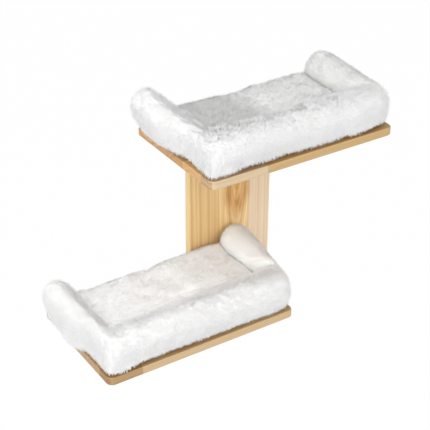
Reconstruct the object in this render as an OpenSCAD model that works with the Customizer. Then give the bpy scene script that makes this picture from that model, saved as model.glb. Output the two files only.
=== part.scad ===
// Two-tier cat wall shelf: two wooden platforms on one back panel, each with a plush bed.
// Millimetres. X runs along the wall, Y points into the wall and Z is up.
// The origin is the middle of the back panel's wall screws, on its rear face.

/* [Platforms] */
// Length of each platform along the wall
platform_length = 500; // [420:5:600]
// Depth of each platform, out from the back panel
platform_depth = 310; // [270:5:360]
// Thickness of the platforms and of the back panel
board_thickness = 20; // [18:0.5:25]
// Clear height between the two platforms
platform_gap = 395; // [320:5:480]
// Radius of the platforms' front corners
corner_radius = 16; // [8:1:30]
// Width of the eased edges
edge_ease = 1.5; // [0.5:0.25:2.5]

/* [Back panel] */
// Width of the back panel
panel_width = 240; // [220:5:290]
// Height of the panel below the lower platform
panel_tail = 65; // [60:1:100]
// How far the upper platform reaches past the panel's left edge
upper_reach = 137; // [80:1:180]
// How much of the lower platform lies in front of the panel
lower_lap = 99; // [95:1:140]

/* [Wall screw holes] */
// Distance of each wall screw hole from the panel's side edge
wall_hole_side = 30; // [22:1:34]
// Distance of each wall screw hole from the panel's top or bottom end
wall_hole_end = 35; // [32:1:42]
// Diameter of the wall screw holes
wall_hole_d = 5.2; // [4.5:0.1:6.5]
// Diameter of the countersinks for the wall screws
wall_sink_d = 10.4; // [9:0.1:13]

/* [Connector bolts and dowels] */
// Diameter of the connector bolts
bolt_d = 6; // [5:0.5:8]
// Diameter of the bolt heads
bolt_head_d = 15; // [12:0.5:17]
// Thickness of the bolt heads
bolt_head_t = 2.4; // [1.8:0.1:3.2]
// Width across the flats of the key socket in each head
bolt_socket = 4; // [3:0.5:5]
// Length of the bolts below the head
bolt_length = 57; // [54:1:66]
// Distance of the barrel nuts from the platforms' rear edge
nut_setback = 32; // [28:1:34]
// Diameter of the barrel nuts
nut_d = 10; // [9.5:0.5:13]
// Length of the barrel nuts
nut_length = 14; // [11:0.5:14]
// Distance of the upper bolts from the panel's middle line
upper_bolt_side = 100; // [85:1:104]
// Distance of the lower bolts from the panel's left edge and from the platform's end
lower_bolt_inset = 16; // [12:1:20]
// Diameter of the wooden dowels
dowel_d = 8; // [6:0.5:10]
// Length of the wooden dowels
dowel_length = 30; // [26:1:34]
// Length of each dowel that sits in the panel
dowel_in_panel = 12; // [8:1:14]
// Distance between each dowel and the bolt beside it
dowel_spacing = 20; // [16:1:24]

/* [Steel brackets] */
// Width of the angle brackets
bracket_width = 22; // [18:1:26]
// Thickness of the bracket steel
bracket_t = 3; // [2:0.25:4]
// Length of the leg under each platform
bracket_leg = 120; // [100:1:140]
// Height of the upright leg
bracket_drop = 55; // [46:1:58]
// Inside radius of the bend
bracket_bend = 3; // [1:0.5:4]
// Distance of the upper brackets from the panel's middle line
upper_bracket_side = 45; // [32:1:60]
// Distance of the wall bracket from the lower platform's left end
wall_bracket_inset = 60; // [30:1:120]
// Diameter of the bracket screws
screw_d = 4; // [3:0.25:4.5]
// Diameter of the screw heads
screw_head_d = 8; // [7:0.25:9]
// Length of the bracket screws
screw_length = 16; // [12:0.5:17]
// Distance of the first screw hole from the bend, on both legs
screw_first = 18; // [16:1:22]
// Distance between the screw holes in the upright leg
drop_spacing = 25; // [16:1:26]
// Distance between the screw holes in the leg under the platform
leg_spacing = 42; // [30:1:45]

/* [Hook and loop tape] */
// Length of each piece of tape
tape_length = 70; // [50:1:100]
// Width of the tape
tape_width = 20; // [16:1:30]
// Thickness of the tape
tape_t = 1; // [0.8:0.1:1.6]
// Distance of the tape from the platforms' ends
tape_side = 85; // [70:1:110]
// Distance of the tape from the front bolster and from the platforms' rear edge
tape_edge = 22; // [12:1:40]

/* [Plush beds] */
// Width of the front bolster at its foot
front_width = 106; // [85:1:120]
// Height of the front bolster
front_height = 89; // [70:1:100]
// Height of the side rolls where they meet the front bolster
roll_height = 90; // [72:1:104]
// Height of the seat pad
seat_height = 40; // [28:1:50]
// How much higher the seat pad is in its middle
seat_crown = 5; // [0:0.5:10]
// Depth of the fold across the seat pad
seat_fold = 4; // [0:0.5:8]
// How much higher the seat pad lies right of the fold
seat_step = 6; // [0:0.5:10]
// How far the beds stop short of the platforms' front edge
bed_front_inset = 4; // [2:0.5:10]
// How far the beds stop short of the platforms' rear edge
bed_rear_inset = 3; // [2:0.5:10]
// Thickness of the cloth under each seat pad
cloth_t = 0.8; // [0.5:0.1:1.5]
// Distance of that cloth's edge from the bolsters and from the seat pad's rear edge
cloth_inset = 6; // [2:1:12]

/* [Lie of the upper bed] */
// Platform covered by the left roll at the front and rear, then its overhang at the front and rear
upper_left_lie = [60, 50, -4, 36]; // [-20:1:90]
// The same for the right roll
upper_right_lie = [62, 48, 19, 27]; // [-20:1:90]
// Height of the left and of the right roll at the rear
upper_roll_heights = [111, 94]; // [80:1:120]

/* [Lie of the lower bed] */
// Platform covered by the left roll at the front and rear, then its overhang at the front and rear
lower_left_lie = [56, 60, -5, 20]; // [-20:1:90]
// The same for the right roll
lower_right_lie = [30, 26, 18, 50]; // [-20:1:90]
// Height of the left and of the right roll at the rear
lower_roll_heights = [94, 91]; // [80:1:120]

/* [Hidden] */
$fn = 48;

// Clearances
hole_clearance = 0.3;
dowel_clearance = 0.1;
thread_clearance = 0.05;
head_clearance = 0.5;
head_below_face = 0.6;
hole_spare_depth = 1;
tape_gap = 0.3;
sewn_gap = 0.3;
bed_gap = 0.3;
cut_through = 1;
joined_by = 1;

// Heights and places of the boards
panel_height = platform_gap + 2 * board_thickness + panel_tail;
upper_top = panel_height / 2;
lower_top = upper_top - board_thickness - platform_gap;
platform_front = -board_thickness - platform_depth;
panel_left = -panel_width / 2;
upper_left = panel_left - upper_reach;
lower_right = panel_left + lower_lap;
lower_left = lower_right - platform_length;

// Places of the fasteners along the wall
upper_bolt_x = [-upper_bolt_side, upper_bolt_side];
lower_bolt_x = [panel_left + lower_bolt_inset, lower_right - lower_bolt_inset];
upper_dowel_x = [upper_bolt_x[0] + dowel_spacing, upper_bolt_x[1] - dowel_spacing];
lower_dowel_x = [lower_bolt_x[0] + dowel_spacing, lower_bolt_x[1] - dowel_spacing];
lower_bracket_x = (lower_bolt_x[0] + lower_bolt_x[1]) / 2;
wall_bracket_x = lower_left + wall_bracket_inset;
head_recess = bolt_head_t + head_below_face;
wall_hole_x = panel_width / 2 - wall_hole_side;
wall_hole_z = panel_height / 2 - wall_hole_end;

// Details of the bolts and screws
socket_past_head = 1;
screw_point = 0.9 * screw_d;
screw_tip_d = 0.4;
recess_length = screw_head_d / 2;
recess_width = 1;

// Layers of each bed above its platform's top
loop_base = tape_t + tape_gap;
cloth_base = loop_base + tape_t;
seat_floor = cloth_base + cloth_t;

// Form of the soft pieces
section_points = 20;
seat_section_points = 24;
corner_steps = 4;
leg_steps = 7;
front_steps = 11;
dome_steps = 4;
seat_steps = 18;
dome_depth = 34;
dome_shrink = 0.88;
flat_foot = 3;
seam_turn = 35;
left_squareness = 6;
right_squareness = 2.7;

// Place of the ridge across a bolster, from 0 inside to 1 outside, and height of its bellies
// as a share of its own height
front_ridge = 0.62;
front_belly = 0.42;
roll_ridge = 0.5;
roll_inner_belly = 0.45;
plain_belly = 0.5;
upper_bellies = [0.75, plain_belly];
lower_bellies = [plain_belly, plain_belly];

// How full a bolster is inside, outside and at its foot, where 2 is round and more is squarer
front_fullness = [1.7, 2.3, 7];
roll_fullness = [2.1, 2.2, 5];
upper_fullness = [[1.7, 2.2, 2], roll_fullness];
lower_fullness = [[2.1, 2.2, 3.5], roll_fullness];

// Form of the seat pad: shares of its length, width and height
fold_width = 0.045;
step_width = 4 * fold_width;
step_below = 0.7;
seat_drawn = 5;
seat_belly = 0.72;
seat_end_thickness = 0.2;
seat_end_squareness = 6;
seat_drawn_to_rear = 4;
seat_side_fullness = 2 / 0.45;
seat_face_fullness = 4;

// Outward direction along the left side (side 0) or the right side (side 1), and along the front
function side_out(side) = 180 + 180 * side;
function front_out() = 270;

function blend(a, b, t) = a + (b - a) * t;
function smooth(t) = t * t * (3 - 2 * t);

// One soft section is [place of the ridge from 0 inside to 1 outside, height, height of the
// outer belly, height of the inner belly, fullness inside, fullness outside, fullness of the foot]
function front_section() = concat(
    [front_ridge, front_height, front_height * front_belly, front_height * front_belly],
    front_fullness
);
function roll_section(height, belly = plain_belly, fullness = roll_fullness) = concat(
    [roll_ridge, height, height * belly, roll_height * roll_inner_belly],
    fullness
);

// A point of a section at an angle: how far out it lies, from 0 to 1, and how high
function section_point(angle, s, shrink) = let(
    outer = cos(angle) > 0,
    full = sin(angle) < 0 ? s[6] : outer ? s[5] : s[4],
    side = pow(abs(cos(angle)), 2 / full) * (outer ? 1 - s[0] : -s[0]),
    belly = outer ? s[2] : s[3],
    rise = pow(abs(sin(angle)), 2 / full),
    high = blend(belly, sin(angle) > 0 ? s[1] : -flat_foot, rise),
    middle = [0.5, s[1] / 2],
    point = middle + ([s[0] + side, high] - middle) * shrink
) [point.x, max(bed_gap, point.y)];

// Width of the bolster round a corner, between its width at the side and at the front
function corner_width(out, side_width) = let(
    squareness = out < front_out() ? left_squareness : right_squareness
) pow(
    pow(abs(cos(out)) / side_width, squareness) + pow(abs(sin(out)) / front_width, squareness),
    -1 / squareness
);

// A ring of the bolster that starts at its inner line and faces outward at an angle
function ring(inner, out, width, s, shrink = 1) = [
    for (i = [0:section_points - 1])
        let(p = section_point(i * 360 / section_points, s, shrink))
        [inner.x + cos(out) * p.x * width, inner.y + sin(out) * p.x * width, p.y]
];

// How each bed lies: its left and right rolls, their heights at the rear, their bellies and how
// full they are at the rear
upper_lie = [upper_left_lie, upper_right_lie, upper_roll_heights, upper_bellies, upper_fullness];
lower_lie = [lower_left_lie, lower_right_lie, lower_roll_heights, lower_bellies, lower_fullness];

// The inner line of a side roll and its width, both at a place along Y
front_line = bed_front_inset + front_width;
rear_line = platform_depth - bed_rear_inset;
function along(y) = (y - front_line) / (rear_line - front_line);
function left_inner(lie, y) = blend(lie[0][0], lie[0][1], along(y));
function right_inner(lie, y) = platform_length - blend(lie[1][0], lie[1][1], along(y));
function side_inner(lie, side, y) = side == 0 ? left_inner(lie, y) : right_inner(lie, y);
function side_width(lie, side, y) = let(l = lie[side], t = sin(90 * along(y)))
    blend(l[0], l[1], along(y)) + blend(l[2], l[3], t);

// Rings of the left roll (side 0) or the right roll (side 1): the rest of the corner, the leg
// and the closed rear end
function roll_rings(lie, side) = let(
    out = side_out(side),
    turn = side == 0 ? seam_turn : -seam_turn,
    corner = [side_inner(lie, side, front_line), front_line],
    width = side_width(lie, side, front_line),
    height = lie[2][side],
    belly = lie[3][side],
    fullness = lie[4][side],
    straight = rear_line - dome_depth
) concat(
    [for (i = [0:corner_steps - 1]) let(t = 1 - i / corner_steps)
        ring(corner, out + turn * t, corner_width(out + turn * t, width),
            side_to_front(seam_turn * t))],
    [for (i = [0:leg_steps])
        let(t = i / leg_steps, y = blend(front_line, straight, t), rear = smooth(t))
        ring([side_inner(lie, side, y), y], out, side_width(lie, side, y),
            roll_section(blend(roll_height, height, rear), blend(plain_belly, belly, rear),
                blend(roll_fullness, fullness, rear)))],
    [for (i = [1:dome_steps])
        let(t = sin(90 * i / dome_steps), y = straight + dome_depth * t)
        ring([side_inner(lie, side, y), y], out, side_width(lie, side, y),
            roll_section(height, belly, fullness), sqrt(1 - dome_shrink * t * t))]
);

// The section part of the way round a corner, from a side roll to the front bolster
function side_to_front(turn) = blend(roll_section(roll_height), front_section(), smooth(turn / 90));

// Rings of the front bolster, from its left seam round both corners to its right seam
function front_rings(lie) = let(
    left = [left_inner(lie, front_line), front_line],
    right = [right_inner(lie, front_line), front_line],
    rest = 90 - seam_turn
) concat(
    [for (i = [0:corner_steps - 1]) let(turn = seam_turn + rest * i / corner_steps)
        ring(left, side_out(0) + turn,
            corner_width(side_out(0) + turn, side_width(lie, 0, front_line)), side_to_front(turn))],
    [for (i = [0:front_steps])
        ring(blend(left, right, i / front_steps), front_out(), front_width, front_section())],
    [for (i = [1:corner_steps]) let(turn = 90 - rest * i / corner_steps)
        ring(right, side_out(1) - turn,
            corner_width(side_out(1) - turn, side_width(lie, 1, front_line)), side_to_front(turn))]
);

// Height of the seat pad's top: crowned, with one soft fold across it and a step beside the fold
function seat_top(u, v) = let(
    crown = seat_crown * (1 - pow(2 * u - 1, 2)) * (1 - pow(2 * v - 1, 2)),
    fold = seat_fold * exp(-pow((u - 0.5) / fold_width, 2)),
    step = seat_step * (smooth(min(1, max(0, 0.5 + (u - 0.5) / step_width))) - step_below)
) seat_height + crown - fold + step;

// One section across the seat pad, from its front edge to its rear edge
function seat_ring(lie, u) = let(
    edge = 1 - pow(abs(2 * u - 1), seat_end_squareness),
    thick = max(seat_end_thickness, sqrt(edge)),
    front = front_line + sewn_gap,
    middle = seat_height * seat_belly
) [
    for (i = [0:seat_section_points - 1])
        let(a = i * 360 / seat_section_points,
            across = sign(cos(a)) * pow(abs(cos(a)), 2 / seat_side_fullness),
            v = (1 - across) / 2,
            drawn = seat_drawn * (1 - pow(2 * u - 1, 2)) * pow(v, seat_drawn_to_rear),
            y = blend(front, rear_line - drawn, v),
            x = blend(left_inner(lie, y) + sewn_gap, right_inner(lie, y) - sewn_gap, u),
            rise = pow(abs(sin(a)), 2 / seat_face_fullness) * thick,
            z = blend(middle, sin(a) > 0 ? seat_top(u, v) : -flat_foot, rise))
        [x, y, max(seat_floor, z)]
];

function seat_rings(lie) = [
    for (i = [0:seat_steps]) seat_ring(lie, (1 - cos(180 * i / seat_steps)) / 2)
];

function mean_point(points) = [for (k = [0:2]) let(one = [for (p = points) p[k]])
    (one * [for (p = points) 1]) / len(points)];

// Closed triangle mesh over a row of rings
module soft_form(rings) {
    n = len(rings[0]);
    last = len(rings) - 1;
    first_cap = len(rings) * n;
    polyhedron(
        points = concat([for (r = rings) each r], [mean_point(rings[0]), mean_point(rings[last])]),
        faces = concat(
            [for (r = [0:last - 1], i = [0:n - 1]) let(j = (i + 1) % n)
                each [[r * n + i, r * n + j, r * n + n + i], [r * n + j, r * n + n + j, r * n + n + i]]],
            [for (i = [0:n - 1]) [first_cap, (i + 1) % n, i]],
            [for (i = [0:n - 1]) [first_cap + 1, last * n + i, last * n + (i + 1) % n]]
        ),
        convexity = 6
    );
}

// Places what is drawn from a platform's front left top corner
module on_upper() {
    translate([upper_left, platform_front, upper_top])
        children();
}

module on_lower() {
    translate([lower_left, platform_front, lower_top])
        children();
}

// A board with two rounded front corners and eased edges, its top at z = 0
module platform_board() {
    t = board_thickness;
    e = edge_ease;
    r = corner_radius;
    translate([0, platform_depth, -t])
        rotate([90, 0, 0])
            linear_extrude(platform_depth - r)
                polygon([
                    [e, 0], [platform_length - e, 0], [platform_length, e], [platform_length, t - e],
                    [platform_length - e, t], [e, t], [0, t - e], [0, e]
                ]);
    translate([r, 0, -t])
        rotate([90, 0, 90])
            linear_extrude(platform_length - 2 * r)
                polygon([[e, 0], [r + joined_by, 0], [r + joined_by, t], [e, t], [0, t - e], [0, e]]);
    for (x = [r, platform_length - r])
        translate([x, r, -t])
            rotate_extrude()
                polygon([[0, 0], [r - e, 0], [r, e], [r, t - e], [r - e, t], [0, t]]);
}

// A bore that enters a platform's rear edge at its mid-thickness
module rear_bore(x, d, depth) {
    translate([x, -board_thickness + cut_through, -board_thickness / 2])
        rotate([90, 0, 0])
            cylinder(d = d, h = depth + cut_through);
}

// Bores for the bolts, the barrel nuts and the dowels of one platform, from its top's level
module joint_bores(bolt_x, dowel_x) {
    for (x = bolt_x) {
        rear_bore(x, bolt_d + 2 * hole_clearance,
            bolt_length - board_thickness + head_recess + hole_spare_depth);
        translate([x, -board_thickness - nut_setback, -board_thickness - cut_through])
            cylinder(d = nut_d + 2 * hole_clearance, h = nut_top() + hole_spare_depth + cut_through);
    }
    for (x = dowel_x)
        rear_bore(x, dowel_d + 2 * dowel_clearance, dowel_length - dowel_in_panel + hole_spare_depth);
}

// Height of the barrel nuts' upper end over a platform's underside
function nut_top() = board_thickness / 2 + nut_length / 2;

// Places of the screws in one bracket's leg, out from the wall side, and down its upright leg
function leg_screws() = [for (i = [0:2]) screw_first + i * leg_spacing];
function drop_screws() = [for (i = [0:1]) screw_first + i * drop_spacing];

// Pilot bores in a platform's underside for one bracket, whose upright leg stands at back_y
module leg_pilots(x, back_y, skip = 0) {
    for (i = [skip:2])
        translate([x, back_y - leg_screws()[i], -board_thickness - cut_through])
            cylinder(d = screw_d + 2 * thread_clearance,
                h = screw_length - bracket_t + hole_spare_depth + cut_through);
}

// Pilot bores in the panel's front for the upright leg of one bracket under a platform
module drop_pilots(x) {
    for (z = drop_screws())
        translate([x, -board_thickness - cut_through, -board_thickness - z])
            rotate([-90, 0, 0])
                cylinder(d = screw_d + 2 * thread_clearance,
                    h = screw_length - bracket_t + hole_spare_depth + cut_through);
}

module upper_platform() {
    color("burlywood")
        difference() {
            on_upper()
                platform_board();
            translate([0, 0, upper_top]) {
                joint_bores(upper_bolt_x, upper_dowel_x);
                leg_pilots(-upper_bracket_side, -board_thickness);
                leg_pilots(upper_bracket_side, -board_thickness);
            }
        }
}

module lower_platform() {
    color("burlywood")
        difference() {
            on_lower()
                platform_board();
            translate([0, 0, lower_top]) {
                joint_bores(lower_bolt_x, lower_dowel_x);
                leg_pilots(lower_bracket_x, -board_thickness);
                leg_pilots(wall_bracket_x, 0, 1);
            }
        }
}

// Holes through the panel for one platform's bolts, with recesses for the heads and blind dowel holes
module panel_joint_holes(bolt_x, dowel_x) {
    for (x = bolt_x)
        translate([x, 0, -board_thickness / 2])
            rotate([90, 0, 0]) {
                translate([0, 0, -cut_through])
                    cylinder(d = bolt_d + 2 * hole_clearance, h = board_thickness + 2 * cut_through);
                translate([0, 0, -cut_through])
                    cylinder(d = bolt_head_d + 2 * head_clearance, h = head_recess + cut_through);
            }
    for (x = dowel_x)
        translate([x, -board_thickness - cut_through, -board_thickness / 2])
            rotate([-90, 0, 0])
                cylinder(d = dowel_d + 2 * dowel_clearance,
                    h = dowel_in_panel + hole_spare_depth + cut_through);
}

// A countersunk hole for one wall screw, its head on the panel's front
module wall_screw_hole() {
    sink = (wall_sink_d - wall_hole_d) / 2;
    rotate([90, 0, 0]) {
        translate([0, 0, -cut_through])
            cylinder(d = wall_hole_d, h = board_thickness + 2 * cut_through);
        translate([0, 0, board_thickness - sink])
            cylinder(d1 = wall_hole_d, d2 = wall_sink_d, h = sink);
    }
}

module back_panel() {
    w = panel_width / 2;
    e = edge_ease;
    t = board_thickness;
    color("burlywood")
        difference() {
            translate([0, 0, -panel_height / 2])
                linear_extrude(panel_height)
                    polygon([[-w, 0], [w, 0], [w, e - t], [w - e, -t], [e - w, -t], [-w, e - t]]);
            for (x = [-wall_hole_x, wall_hole_x], z = [-wall_hole_z, wall_hole_z])
                translate([x, 0, z])
                    wall_screw_hole();
            translate([0, 0, upper_top]) {
                panel_joint_holes(upper_bolt_x, upper_dowel_x);
                drop_pilots(-upper_bracket_side);
                drop_pilots(upper_bracket_side);
            }
            translate([0, 0, lower_top]) {
                panel_joint_holes(lower_bolt_x, lower_dowel_x);
                drop_pilots(lower_bracket_x);
            }
        }
}

// A flat-headed connector bolt from the panel's rear into the platform
module connector_bolt() {
    rotate([90, 0, 0])
        difference() {
            union() {
                translate([0, 0, head_recess - bolt_head_t])
                    cylinder(d = bolt_head_d, h = bolt_head_t);
                translate([0, 0, head_recess])
                    cylinder(d = bolt_d, h = bolt_length);
            }
            translate([0, 0, head_recess - bolt_head_t - cut_through])
                cylinder(d = bolt_socket / cos(30),
                    h = bolt_head_t + socket_past_head + cut_through, $fn = 6);
        }
}

module connector_bolts(bolt_x, top) {
    color("silver")
        for (x = bolt_x)
            translate([x, 0, top - board_thickness / 2])
                connector_bolt();
}

// A barrel nut with a cross bore for the bolt
module barrel_nuts(bolt_x, top) {
    color("silver")
        for (x = bolt_x)
            translate([x, -board_thickness - nut_setback, top - board_thickness / 2])
                difference() {
                    cylinder(d = nut_d, h = nut_length, center = true);
                    rotate([90, 0, 0])
                        cylinder(d = bolt_d + 2 * thread_clearance,
                            h = nut_d + 2 * cut_through, center = true);
                }
}

module dowels(dowel_x, top) {
    color("wheat")
        for (x = dowel_x)
            translate([x, -board_thickness + dowel_in_panel, top - board_thickness / 2])
                rotate([90, 0, 0])
                    cylinder(d = dowel_d, h = dowel_length);
}

// A countersunk screw along +Z, its head's flat at z = 0
module wood_screw() {
    sink = (screw_head_d - screw_d) / 2;
    difference() {
        union() {
            cylinder(d1 = screw_head_d, d2 = screw_d, h = sink);
            cylinder(d = screw_d, h = screw_length - screw_point);
            translate([0, 0, screw_length - screw_point])
                cylinder(d1 = screw_d, d2 = screw_tip_d, h = screw_point);
        }
        for (turn = [0, 90])
            rotate([0, 0, turn])
                translate([0, 0, sink / 2 - cut_through / 2])
                    cube([recess_length, recess_width, sink + cut_through], center = true);
    }
}

// A countersunk hole through a bracket's leg of steel, entered at z = 0
module bracket_hole() {
    sink = (screw_head_d - screw_d) / 2 + hole_clearance;
    translate([0, 0, -cut_through])
        cylinder(d = screw_d + 2 * hole_clearance, h = bracket_t + 2 * cut_through);
    cylinder(d1 = screw_head_d + 2 * hole_clearance, d2 = screw_d + 2 * hole_clearance, h = sink);
}

// An angle bracket: one leg under the platform along -Y, one leg down the upright face at y = 0
module angle_bracket(skip = 0) {
    t = bracket_t;
    b = bracket_bend;
    w = bracket_width;
    difference() {
        translate([-w / 2, 0, 0])
            union() {
                translate([0, -bracket_leg, -t])
                    cube([w, bracket_leg - t - b, t]);
                translate([0, -t, -bracket_drop])
                    cube([w, t, bracket_drop - t - b]);
                translate([0, -t - b, -t - b])
                    intersection() {
                        difference() {
                            rotate([0, 90, 0])
                                cylinder(r = t + b, h = w);
                            translate([-cut_through, 0, 0])
                                rotate([0, 90, 0])
                                    cylinder(r = b, h = w + 2 * cut_through);
                        }
                        cube([w, t + b, t + b]);
                    }
            }
        for (i = [skip:2])
            translate([0, -leg_screws()[i], -t])
                bracket_hole();
        for (z = drop_screws())
            translate([0, -t, -z])
                rotate([-90, 0, 0])
                    bracket_hole();
    }
}

// Screws of one bracket: those under the platform, then those in its upright leg
module leg_screw_row(skip = 0) {
    for (i = [skip:2])
        translate([0, -leg_screws()[i], -bracket_t])
            wood_screw();
}

module drop_screw_row() {
    for (z = drop_screws())
        translate([0, -bracket_t, -z])
            rotate([-90, 0, 0])
                wood_screw();
}

// Puts a bracket or its screws under a platform, against the upright face at y
module under(x, y, top) {
    translate([x, y, top - board_thickness])
        children();
}

module upper_left_bracket() {
    color("dimgray")
        under(-upper_bracket_side, -board_thickness, upper_top)
            angle_bracket();
}

module upper_right_bracket() {
    color("dimgray")
        under(upper_bracket_side, -board_thickness, upper_top)
            angle_bracket();
}

module lower_bracket() {
    color("dimgray")
        under(lower_bracket_x, -board_thickness, lower_top)
            angle_bracket();
}

// The wall bracket stands on the wall itself, so its leg bridges the panel's thickness
module wall_bracket() {
    color("dimgray")
        under(wall_bracket_x, 0, lower_top)
            angle_bracket(1);
}

module upper_bracket_screws() {
    color("silver")
        for (x = [-upper_bracket_side, upper_bracket_side])
            under(x, -board_thickness, upper_top) {
                leg_screw_row();
                drop_screw_row();
            }
}

module lower_bracket_screws() {
    color("silver")
        under(lower_bracket_x, -board_thickness, lower_top) {
            leg_screw_row();
            drop_screw_row();
        }
}

module wall_bracket_screws() {
    color("silver")
        under(wall_bracket_x, 0, lower_top)
            leg_screw_row(1);
}

// Four pieces of tape at one height over a platform
module tape(base) {
    for (x = [tape_side, platform_length - tape_side - tape_length],
         y = [front_line + tape_edge, platform_depth - tape_edge - tape_width])
        translate([x, y, base])
            cube([tape_length, tape_width, tape_t]);
}

module hook_tape() {
    color("white")
        tape(0);
}

module loop_tape() {
    color("gainsboro")
        tape(loop_base);
}

// The cloth under a seat pad follows the inner lines of the side rolls
module base_cloth(lie) {
    front = front_line + cloth_inset;
    rear = rear_line - seat_drawn - cloth_inset;
    color("lightgray")
        translate([0, 0, cloth_base])
            linear_extrude(cloth_t)
                polygon([
                    [left_inner(lie, front) + cloth_inset, front],
                    [right_inner(lie, front) - cloth_inset, front],
                    [right_inner(lie, rear) - cloth_inset, rear],
                    [left_inner(lie, rear) + cloth_inset, rear]
                ]);
}

module seat_pad(lie) {
    color("whitesmoke")
        soft_form(seat_rings(lie));
}

module left_roll(lie) {
    rings = roll_rings(lie, 0);
    color("white")
        soft_form([for (i = [1:len(rings)]) rings[len(rings) - i]]);
}

module front_bolster(lie) {
    color("snow")
        soft_form(front_rings(lie));
}

module right_roll(lie) {
    color("white")
        soft_form(roll_rings(lie, 1));
}

back_panel();
upper_platform();
lower_platform();
connector_bolts(upper_bolt_x, upper_top);  // upper_connector_bolts
connector_bolts(lower_bolt_x, lower_top);  // lower_connector_bolts
barrel_nuts(upper_bolt_x, upper_top);  // upper_barrel_nuts
barrel_nuts(lower_bolt_x, lower_top);  // lower_barrel_nuts
dowels(upper_dowel_x, upper_top);  // upper_dowels
dowels(lower_dowel_x, lower_top);  // lower_dowels
upper_left_bracket();
upper_right_bracket();
lower_bracket();
wall_bracket();
upper_bracket_screws();
lower_bracket_screws();
wall_bracket_screws();
on_upper() hook_tape();  // upper_hook_tape
on_lower() hook_tape();  // lower_hook_tape
on_upper() loop_tape();  // upper_loop_tape
on_lower() loop_tape();  // lower_loop_tape
on_upper() base_cloth(upper_lie);  // upper_base_cloth
on_lower() base_cloth(lower_lie);  // lower_base_cloth
on_upper() seat_pad(upper_lie);  // upper_seat_pad
on_upper() left_roll(upper_lie);  // upper_left_roll
on_upper() front_bolster(upper_lie);  // upper_front_bolster
on_upper() right_roll(upper_lie);  // upper_right_roll
on_lower() seat_pad(lower_lie);  // lower_seat_pad
on_lower() left_roll(lower_lie);  // lower_left_roll
on_lower() front_bolster(lower_lie);  // lower_front_bolster
on_lower() right_roll(lower_lie);  // lower_right_roll
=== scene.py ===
"""Two-tier cat wall shelf: wooden platforms on one back panel, each with a white plush bed."""

import math
from collections import namedtuple

import bmesh
import bpy
import numpy as np
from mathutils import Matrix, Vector, noise
from mathutils.bvhtree import BVHTree


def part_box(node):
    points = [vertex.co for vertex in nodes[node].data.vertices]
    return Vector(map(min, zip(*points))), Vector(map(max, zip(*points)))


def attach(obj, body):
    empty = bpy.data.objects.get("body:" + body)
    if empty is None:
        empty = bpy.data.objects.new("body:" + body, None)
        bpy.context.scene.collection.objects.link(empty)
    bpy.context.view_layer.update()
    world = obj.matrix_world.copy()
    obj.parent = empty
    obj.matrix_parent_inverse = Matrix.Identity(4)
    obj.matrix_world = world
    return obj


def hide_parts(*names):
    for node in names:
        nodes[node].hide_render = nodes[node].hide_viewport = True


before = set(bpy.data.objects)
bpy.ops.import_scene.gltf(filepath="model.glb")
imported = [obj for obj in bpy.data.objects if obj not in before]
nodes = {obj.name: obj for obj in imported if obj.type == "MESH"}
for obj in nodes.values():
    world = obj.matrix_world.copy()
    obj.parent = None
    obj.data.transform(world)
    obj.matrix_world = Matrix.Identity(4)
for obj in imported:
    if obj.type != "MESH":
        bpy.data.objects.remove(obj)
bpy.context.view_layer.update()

# Sizes in metres: the covers' mesh, the overlap that joins solids into one cover, the gap between pile
# and wood, and the levels between which colours pass from the lower bed's to the upper bed's
VOXEL = 0.005
WELD = 0.0004
SAFE_GAP = 0.0007
BETWEEN_BEDS = (0.0, 0.15)

WHITE = (1.0, 1.0, 1.0, 1.0)


# Helpers for nodes and objects
def new_object(name, data):
    """An object that is in the scene."""
    made = bpy.data.objects.new(name, data)
    bpy.context.scene.collection.objects.link(made)
    return made


def new_material(name):
    material = bpy.data.materials.new(name)
    material.use_nodes = True
    tree = material.node_tree
    return material, tree, tree.nodes["Principled BSDF"]


def link(tree, source, target):
    tree.links.new(source, target)


def put(tree, kind, **values):
    """Adds a node and sets its properties."""
    node = tree.nodes.new(kind)
    for name, value in values.items():
        setattr(node, name, value)
    return node


def feed(tree, socket, value):
    """Links a socket to another node's output or sets its constant value."""
    if isinstance(value, bpy.types.NodeSocket):
        tree.links.new(value, socket)
    else:
        socket.default_value = value


def set_inputs(node, values):
    """Sets a node's inputs to constants, by their names."""
    for name, value in values.items():
        node.inputs[name].default_value = value


def maths(tree, operation, a, b=None, c=None):
    node = put(tree, "ShaderNodeMath", operation=operation)
    for socket, value in zip(node.inputs, (a, b, c)):
        if value is not None:
            feed(tree, socket, value)
    return node.outputs[0]


def vector_maths(tree, operation, a, b=None, scale=None):
    node = put(tree, "ShaderNodeVectorMath", operation=operation)
    feed(tree, node.inputs[0], a)
    if b is not None:
        feed(tree, node.inputs[1], b)
    if scale is not None:
        feed(tree, node.inputs["Scale"], scale)
    return node.outputs["Value" if operation == "LENGTH" else "Vector"]


def mix_vector(tree, share, a, b):
    node = put(tree, "ShaderNodeMix", data_type="VECTOR")
    feed(tree, node.inputs[0], share)
    feed(tree, node.inputs[4], a)
    feed(tree, node.inputs[5], b)
    return node.outputs[1]


def mix_colour(tree, share, a, b, blend="MIX"):
    node = put(tree, "ShaderNodeMix", data_type="RGBA", blend_type=blend)
    feed(tree, node.inputs[0], share)
    feed(tree, node.inputs[6], a)
    feed(tree, node.inputs[7], b)
    return node.outputs[2]


def ramp(tree, share, stops, interpolation="LINEAR"):
    """A colour ramp through (place, colour) stops."""
    node = put(tree, "ShaderNodeValToRGB")
    node.color_ramp.interpolation = interpolation
    elements = node.color_ramp.elements
    while len(elements) < len(stops):
        elements.new(0.5)
    for element, (place, colour) in zip(elements, stops):
        element.position = place
        element.color = (*colour, 1.0)
    link(tree, share, node.inputs[0])
    return node.outputs["Color"]


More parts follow.
